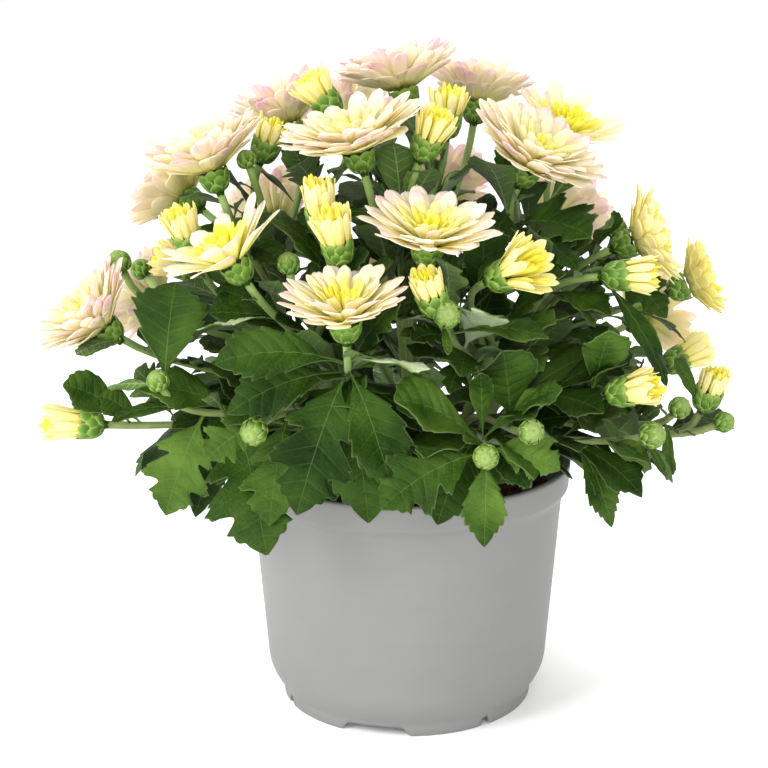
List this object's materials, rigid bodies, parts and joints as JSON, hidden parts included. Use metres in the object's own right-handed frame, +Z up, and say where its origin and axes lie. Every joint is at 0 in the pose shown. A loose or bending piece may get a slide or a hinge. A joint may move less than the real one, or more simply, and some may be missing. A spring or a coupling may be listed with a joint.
{
  "type": "potted chrysanthemum",
  "caption": "Potted chrysanthemum: a dome of cream-yellow double flowers, half-open flowers and buds over lobed leaves, in a plain tapered plastic pot.",
  "frame": {"origin": "under the middle of the pot, on the surface it stands on; the flowers and leaves reach about as far to the front as to the back, and to the left as to the right", "axes": "+Z up, -Y towards the front that the picture shows, +X to the right of that view"},
  "size_m": [0.279, 0.2377, 0.2646],
  "materials": {
    "pot": "matte",
    "peat": "matte",
    "leaf": "satin",
    "petal": "matte"
  },
  "bodies": {
    "root": {"pot": "pot", "soil": "peat", "leafy_stem_centre": "leaf", "leafy_stem_front_left": "leaf", "leafy_stem_front_right": "leaf", "leafy_stem_right": "leaf", "leafy_stem_back": "leaf", "leafy_stem_left": "leaf", "bloom_back": "petal", "bloom_back_crown": "petal", "bloom_back_left": "petal", "bloom_back_right": "petal", "bloom_crown": "petal", "bloom_crown_left": "petal", "bloom_crown_right": "petal", "bloom_far_left": "petal", "bloom_far_right": "petal", "bloom_front": "petal", "bloom_front_left": "petal", "bloom_left_shoulder": "petal", "bloom_low_back": "petal", "bloom_low_left": "petal", "bloom_low_right": "petal", "bloom_middle": "petal", "bloom_right": "petal", "bloom_right_shoulder": "petal", "bloom_top_front": "petal", "bloom_upper_left": "petal", "bloom_upper_right": "petal", "opening_back": "petal", "opening_back_left": "petal", "opening_back_right": "petal", "opening_crown": "petal", "opening_far_left": "petal", "opening_far_right": "petal", "opening_high": "petal", "opening_left": "petal", "opening_left_edge": "petal", "opening_low_right": "petal", "opening_middle": "petal", "opening_pair": "petal", "opening_right": "petal", "opening_shoulder": "petal", "opening_top": "petal", "opening_top_right": "petal", "opening_upper": "petal"}
  },
  "joints": []
}
